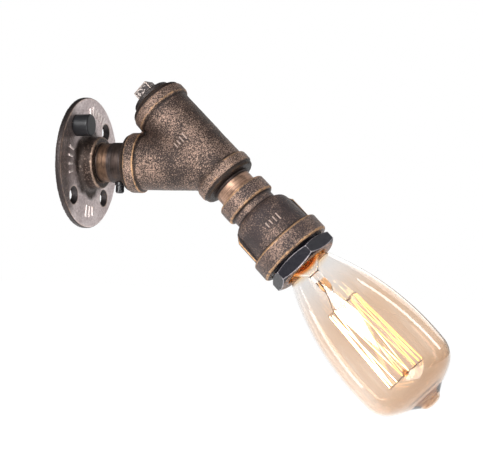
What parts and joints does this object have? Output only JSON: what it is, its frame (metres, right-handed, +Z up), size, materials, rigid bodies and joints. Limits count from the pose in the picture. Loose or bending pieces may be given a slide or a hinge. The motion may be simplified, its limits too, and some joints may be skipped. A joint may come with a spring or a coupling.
{
  "type": "wall light",
  "caption": "Industrial pipe wall light: floor flange, swivelling cast pipe branch with a square plug, bell reducer with hex bushing, lampholder and clear pear-shaped filament bulb.",
  "frame": {"origin": "centre of the flange's back face, on the wall", "axes": "+Z up, +Y into the wall along the pipe's axis, the light reaches out along -Y"},
  "size_m": [0.09, 0.2472, 0.2106],
  "materials": {
    "flange_metal": "satin",
    "antique_bronze": "satin",
    "pipe_metal": "satin",
    "black_metal": "gloss",
    "black_rubber": "satin",
    "plug_metal": "satin",
    "bushing_metal": "gloss",
    "porcelain": "gloss",
    "brass": "polished",
    "steel": "satin",
    "wire_brown": "matte",
    "wire_blue": "matte",
    "amber_glass": "gloss",
    "clear_glass": "gloss",
    "black_glass": "gloss",
    "filament_glow": "matte"
  },
  "bodies": {
    "wall": {"wall_flange": "flange_metal", "hole_cover": "black_rubber", "wall_nipple": "pipe_metal"},
    "head": {"swivel_sleeve": "pipe_metal", "y_branch": "antique_bronze", "square_plug": "plug_metal", "lamp_nipple": "pipe_metal", "bell_reducer": "antique_bronze", "hex_bushing": "bushing_metal", "lampholder": "porcelain", "screw_shell": "brass", "contact_tongue": "brass", "centre_terminal": "brass", "shell_terminal": "brass", "live_wire": "wire_brown", "neutral_wire": "wire_blue"},
    "lock": {"lock_screw": "black_metal"},
    "bulb": {"bulb_cap": "brass", "cap_insulator": "black_glass", "cap_contact": "steel", "bulb_glass": "amber_glass", "glass_stem": "clear_glass", "lead_wires": "steel", "filament_hooks": "steel", "filament": "filament_glow"}
  },
  "joints": [
    {"name": "head_swivel", "type": "hinge", "parent": "wall", "child": "head", "pos_m": [0, -0.0926, 0], "axis": [0, -1, 0], "range_deg": [-90, 90]},
    {"name": "lock_screw_turn", "type": "hinge", "parent": "head", "child": "lock", "pos_m": [0, -0.0266, -0.015], "axis": [0, 0, -1], "range_deg": [0, 360]},
    {"name": "bulb_turn", "type": "hinge", "parent": "head", "child": "bulb", "pos_m": [0, -0.0926, 0], "axis": [0, -0.7071, -0.7071], "range_deg": [0, 1080]}
  ]
}
